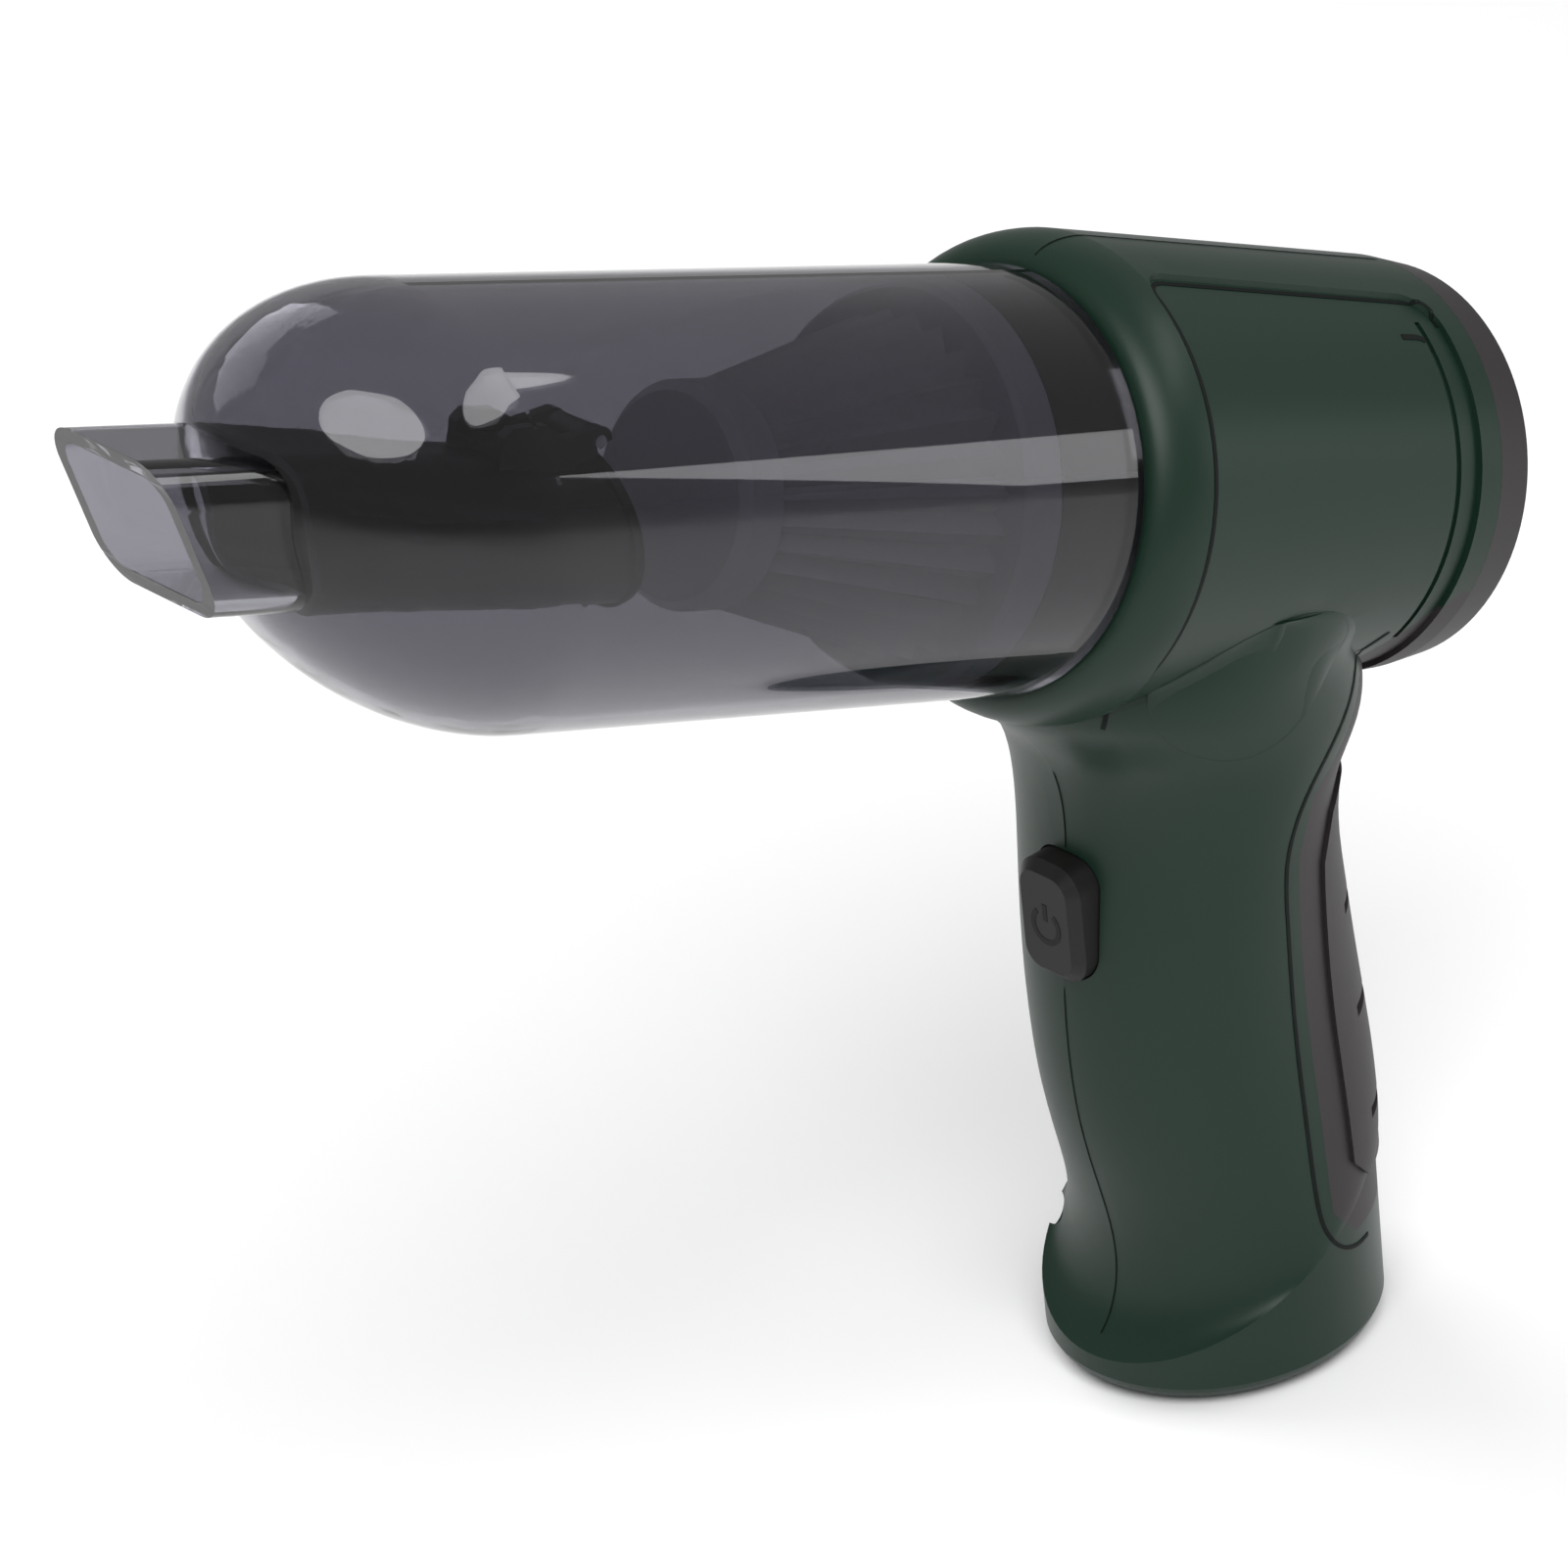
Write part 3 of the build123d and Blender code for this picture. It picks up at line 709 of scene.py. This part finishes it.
# ------------------------------------------------------------------ the neck's fairing
@dataclass
class NeckFairing:
    """The soft blend on one side of the neck, laid over the crease between handle and barrel.

    It is an open skin. Each of its cross lines runs from the barrel over the crease to the handle,
    and bends in one curve. Lengths along the barrel are millimetres and turns are degrees.

    Args:
        half: -1 for the left side and 1 for the right.
        surface: what it lies on.
        material: the housing's material.
        front: how far behind the cup's rim it starts.
        length: how far it runs rearward from there.
        front_turn: the turn of its middle in front.
        turn_fall: how much less that turn is at the back.
        reach: half the turn that its widest cross line spans.
        end_reach: half the turn that is left at its ends.
        fullness: how fast it widens from its ends, less being faster.
        stations: how many cross lines it has.
        columns: how many spans each cross line has.
        looks: how many spans each search for the crease has.
        margin: how many hits at each end of a search can't be the crease.
        smoothings: how many times the crease is smoothed along the neck.
        proud: how far its rims stand from the surface.
    """

    half: int
    surface: Surface
    material: bpy.types.Material
    front: float = 17.0
    length: float = 36.0
    front_turn: float = 138.5
    turn_fall: float = 17.5
    reach: float = 15.0
    end_reach: float = 0.3
    fullness: float = 0.6
    stations: int = 44
    columns: int = 10
    looks: int = 40
    margin: int = 3
    smoothings: int = 12
    proud: float = 0.00006

    def controls(self, share: float) -> tuple[Vector, Vector, Vector]:
        """Finds the three points that one cross line is drawn from.

        Args:
            share: the way along the neck, 0 in front and 1 at the back.

        Returns:
            The rim on the barrel, the crease and the rim on the handle.
        """
        x = self.front + self.length * share
        middle = self.front_turn - self.turn_fall * share
        reach = self.reach * sin(pi * share) ** self.fullness + self.end_reach
        upper = barrel_probe(x, self.half * (middle - reach))
        lower = barrel_probe(x, self.half * (middle + reach))
        hits = self.surface.sweep(upper, lower, [step / self.looks for step in range(self.looks + 1)])
        inner = hits[self.margin:-self.margin]
        bends = [one[1].dot(two[1]) for one, two in zip(inner, inner[1:])]
        crease = inner[bends.index(min(bends))][0]
        top, low = (place + normal * self.proud for place, normal in (hits[0], hits[-1]))
        return top, crease, low

    def cross_lines(self) -> list[list[Vector]]:
        """Works out every cross line, with the crease smoothed along the neck.

        Returns:
            The points of each cross line, from the barrel to the handle.
        """
        rows = [self.controls(number / (self.stations - 1)) for number in range(self.stations)]
        for _ in range(self.smoothings):
            creases = [row[1] for row in rows]
            for number in range(1, len(rows) - 1):
                soft = (creases[number - 1] + creases[number] * 2 + creases[number + 1]) / 4
                rows[number] = (rows[number][0], soft, rows[number][2])
        shares = [step / self.columns for step in range(self.columns + 1)]
        return [
            [top * (1 - t) ** 2 + crease * 2 * t * (1 - t) + low * t ** 2 for t in shares]
            for top, crease, low in rows
        ]

    def build(self) -> None:
        """Grows the fairing line by line and lets it ride on the housing."""
        first, *others = self.cross_lines()
        mesh = bmesh.new()
        row = [mesh.verts.new(point) for point in first]
        for one, two in zip(row, row[1:]):
            mesh.edges.new((one, two))
        for line in others:
            around = {edge for vert in row for edge in vert.link_edges}
            edges = [edge for edge in around if all(vert in row for vert in edge.verts)]
            grown = bmesh.ops.extrude_edge_only(mesh, edges=edges)["geom"]
            fresh = [item for item in grown if isinstance(item, bmesh.types.BMVert)]
            places = [vert.co.copy() for vert in row]
            row = [min(fresh, key=lambda vert: (vert.co - place).length) for place in places]
            for vert, point in zip(row, line):
                vert.co = point
        bmesh.ops.recalc_face_normals(mesh, faces=mesh.faces)
        if sum(face.normal.y * self.half for face in mesh.faces) < 0:
            bmesh.ops.reverse_faces(mesh, faces=mesh.faces)
        for face in mesh.faces:
            face.smooth = True
        side = "left" if self.half < 0 else "right"
        fairing = placed(f"neck_fairing_{side}", mesh, self.material)
        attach(fairing, "housing")


# ------------------------------------------------------------------ all that lies on the housing
JOINT_WIDTH = 0.00020
BARREL_JOINT_WIDTH = 0.00022
# widths of the lines of painted shade along the panel's step, the hook's groove and the pad's step
PANEL_EDGE_SHADE_WIDTH = 0.0008
HOOK_GROOVE_SHADE_WIDTH = 0.0010
PAD_STEP_SHADE_WIDTH = 0.0007

# millimetres behind the cup's rim and degrees from the barrel's top
# the panel's step: its dark line is painted shade at the foot of the step
PANEL_EDGE = (
    (14.6, 152.0),
    (12.2, 143.0),
    (10.7, 128.0),
    (10.7, 60.0),
    (10.7, 34.0),
    (10.9, 22.0),
    (20.0, 22.4),
    (66.0, 24.4),
    (73.4, 24.8),
    (73.6, 34.0),
)
# the hook groove's short bar, which the solids lack: its dark line is painted shade of the groove
HOOK_BAR = ((63.4, 37.6), (68.6, 37.6), (69.2, 42.0))

# millimetres behind the foot's middle and above the foot
# the step round the grip pad: its dark line is painted shade in the step
PAD_STEP = (
    (12.5, 19.4),
    (8.4, 19.7),
    (4.4, 21.6),
    (1.4, 25.2),
    (0.1, 30.0),
    (-0.6, 50.0),
    (-1.0, 80.0),
    (-1.6, 94.0),
    (-0.6, 101.0),
    (2.6, 108.4),
    (8.6, 115.2),
    (16.0, 121.0),
    (24.0, 127.6),
)


@dataclass
class HousingTrim:
    """The neck's fairings, the shells' joint, and painted shade along the panels' edges, the hook's groove
    and the step round the grip pad.

    Args:
        wardrobe: the finishes.
    """

    frame: dict
    wardrobe: Wardrobe

    def courses(self) -> dict[str, tuple[list[Probe], float]]:
        """Lists the lines.

        Returns:
            Each line's probes and width, by its name.
        """
        courses = {
            "joint_below_button": ([front_probe(9.0), front_probe(77.2)], JOINT_WIDTH),
            "joint_above_button": ([front_probe(100.3), front_probe(116.0)], JOINT_WIDTH),
            "joint_on_barrel": ([barrel_probe(0.8, -0.3), barrel_probe(78.6, -0.3)], BARREL_JOINT_WIDTH),
        }
        for side, half in (("left", -1), ("right", 1)):
            panel = [barrel_probe(x, half * turn) for x, turn in PANEL_EDGE]
            hook = [barrel_probe(x, half * turn) for x, turn in HOOK_BAR]
            step = [side_probe(x, z, half) for x, z in PAD_STEP]
            # dark lines of painted shade along the panels' steps, the hook's groove and the pad's step
            courses[f"panel_edge_{side}"] = (eased(panel), PANEL_EDGE_SHADE_WIDTH)
            courses[f"hook_bar_{side}"] = (eased(hook), HOOK_GROOVE_SHADE_WIDTH)
            courses[f"pad_step_{side}"] = (eased(step), PAD_STEP_SHADE_WIDTH)
        return courses

    def build(self) -> None:
        """Builds the fairings and every line."""
        depsgraph = bpy.context.evaluated_depsgraph_get()
        shells = [self.frame["nodes"][name] for name in ("housing_left_shell", "housing_right_shell")]
        surface = Surface(tuple(BVHTree.FromObject(shell, depsgraph) for shell in shells))
        for half in (-1, 1):
            NeckFairing(half, surface, self.wardrobe.get("housing_green")).build()
        # one dark finish for the joints' own colour and for the lines of painted shade
        joint_and_shade_finish = self.wardrobe.get("joint_and_shade_green")
        for name, (probes, width) in self.courses().items():
            SurfaceLine(name, probes, surface, joint_and_shade_finish, width).build()


# ------------------------------------------------------------------ studio
@dataclass(frozen=True)
class SoftLight:
    """One soft area light.

    Args:
        name: the light's name.
        place: where it stands.
        aim: where it points.
        size: its face's width and height.
        power: its power in watts.
        shape: the outline of its face.
        turn: its turn about the way it points.
        mirrored: whether shiny surfaces mirror it.
    """

    name: str
    place: tuple[float, float, float]
    aim: tuple[float, float, float]
    size: tuple[float, float]
    power: float
    shape: str = "RECTANGLE"
    turn: float = 0.0
    mirrored: bool = True

    def build(self) -> None:
        """Adds the light to the scene."""
        data = bpy.data.lights.new(self.name, "AREA")
        data.shape = self.shape
        data.size, data.size_y = self.size
        data.energy = self.power
        lamp = bpy.data.objects.new(self.name, data)
        bpy.context.scene.collection.objects.link(lamp)
        way = Vector(self.aim) - Vector(self.place)
        lamp.visible_glossy = self.mirrored
        facing = way.to_track_quat("-Z", "Y").to_matrix().to_4x4() @ Matrix.Rotation(self.turn, 4, "Z")
        lamp.matrix_world = Matrix.Translation(self.place) @ facing


LIGHTS = (
    SoftLight("key", (-0.43, -0.60, 1.07), (-0.02, 0.0, 0.14), (1.00, 0.85), 11.5, "ELLIPSE"),
    SoftLight("streak", (0.64, -0.41, 0.88), (0.0, 0.0, 0.14), (0.85, 0.24), 2.2, "ELLIPSE", radians(-8.0)),
    SoftLight("side", (0.85, -0.70, 0.25), (0.0, 0.0, 0.10), (0.3, 0.3), 0.8),
    SoftLight("back", (-0.10, 0.95, 0.75), (0.0, 0.0, 0.15), (1.1, 0.6), 7.0, mirrored=False),
)
SENSOR_WIDTH = 36.0
CLIP_START = 0.01
WHITE = (1.0, 1.0, 1.0, 1.0)
FLOOR_SIZE = 4.0
FLOOR_DROP = 0.0002


@dataclass
class Studio:
    """The camera, the floor, the white surround and the lights.

    Args:
        azimuth: the camera's turn round the barrel.
        height: its angle above the barrel's side.
        roll: its roll.
        target: what it looks at, in the barrel's frame.
        distance: how far it stands from there.
        lens: focal length in millimetres on the sensor's width.
        world_light: the strength that the surround lights the object with.
        world_seen: the strength that the camera sees, where 1 is white.
    """

    azimuth: float = radians(-44.13)
    height: float = radians(15.81)
    roll: float = radians(9.64)
    target: tuple[float, float, float] = (-0.03239, 0.0, -0.04653)
    distance: float = 1.0084
    lens: float = 153.6
    world_light: float = 0.38
    world_seen: float = 1.0

    def camera(self) -> None:
        """Stands the camera at the picture's viewing angle."""
        level = cos(self.height)
        back = Vector((sin(self.azimuth) * level, -cos(self.azimuth) * level, sin(self.height)))
        right = Vector((cos(self.azimuth), sin(self.azimuth), 0.0))
        up = back.cross(right)
        right_rolled = right * cos(self.roll) + up * sin(self.roll)
        up_rolled = up * cos(self.roll) - right * sin(self.roll)
        axes = [barrel_vector(*axis) for axis in (right_rolled, up_rolled, back)]
        place = barrel_point(*self.target) + axes[2] * self.distance
        data = bpy.data.cameras.new("camera")
        data.lens = self.lens
        data.sensor_width = SENSOR_WIDTH
        data.clip_start = CLIP_START
        holder = bpy.data.objects.new("camera", data)
        bpy.context.scene.collection.objects.link(holder)
        turn = Matrix([[axis[row] for axis in axes] for row in range(3)]).to_4x4()
        holder.matrix_world = Matrix.Translation(place) @ turn
        bpy.context.scene.camera = holder

    def surround(self) -> None:
        """Makes a white world that is bright to the camera and softer as light."""
        world = bpy.data.worlds.new("surround")
        world.use_nodes = True
        tree = Tree(world.node_tree)
        shade = world.node_tree.nodes["Background"]
        seen = tree.add("ShaderNodeBackground")
        path = tree.add("ShaderNodeLightPath")
        mix = tree.add("ShaderNodeMixShader")
        for background, strength in ((shade, self.world_light), (seen, self.world_seen)):
            background.inputs["Color"].default_value = WHITE
            background.inputs["Strength"].default_value = strength
        tree.link(path.outputs["Is Camera Ray"], mix.inputs["Fac"])
        tree.link(shade.outputs["Background"], mix.inputs[1])
        tree.link(seen.outputs["Background"], mix.inputs[2])
        tree.link(mix.outputs["Shader"], world.node_tree.nodes["World Output"].inputs["Surface"])
        bpy.context.scene.world = world

    def floor(self) -> None:
        """Lays a plain pale floor under the foot."""
        mesh = bmesh.new()
        bmesh.ops.create_grid(mesh, x_segments=1, y_segments=1, size=FLOOR_SIZE)
        bmesh.ops.translate(mesh, vec=(0.0, 0.0, -FLOOR_DROP), verts=mesh.verts)
        pale = Finish("floor_white", (0.94, 0.94, 0.94), 0.8, specular=0.1).make()
        ground = placed("floor", mesh, pale)

    def build(self) -> None:
        """Sets up the whole studio, the camera first."""
        self.camera()
        self.surround()
        self.floor()
        for light in LIGHTS:
            light.build()
        bpy.context.scene.view_settings.view_transform = "Standard"
        log.info("studio: %d lights", len(LIGHTS))


def main() -> None:
    """Builds the whole scene."""
    logging.basicConfig(level=logging.INFO, format="%(name)s %(message)s")
    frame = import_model()
    Studio().build()
    wardrobe = Wardrobe()
    CadPieces(frame, wardrobe).dress()
    PowerSign(wardrobe).build()
    HousingTrim(frame, wardrobe).build()


if __name__ == "__main__":
    main()
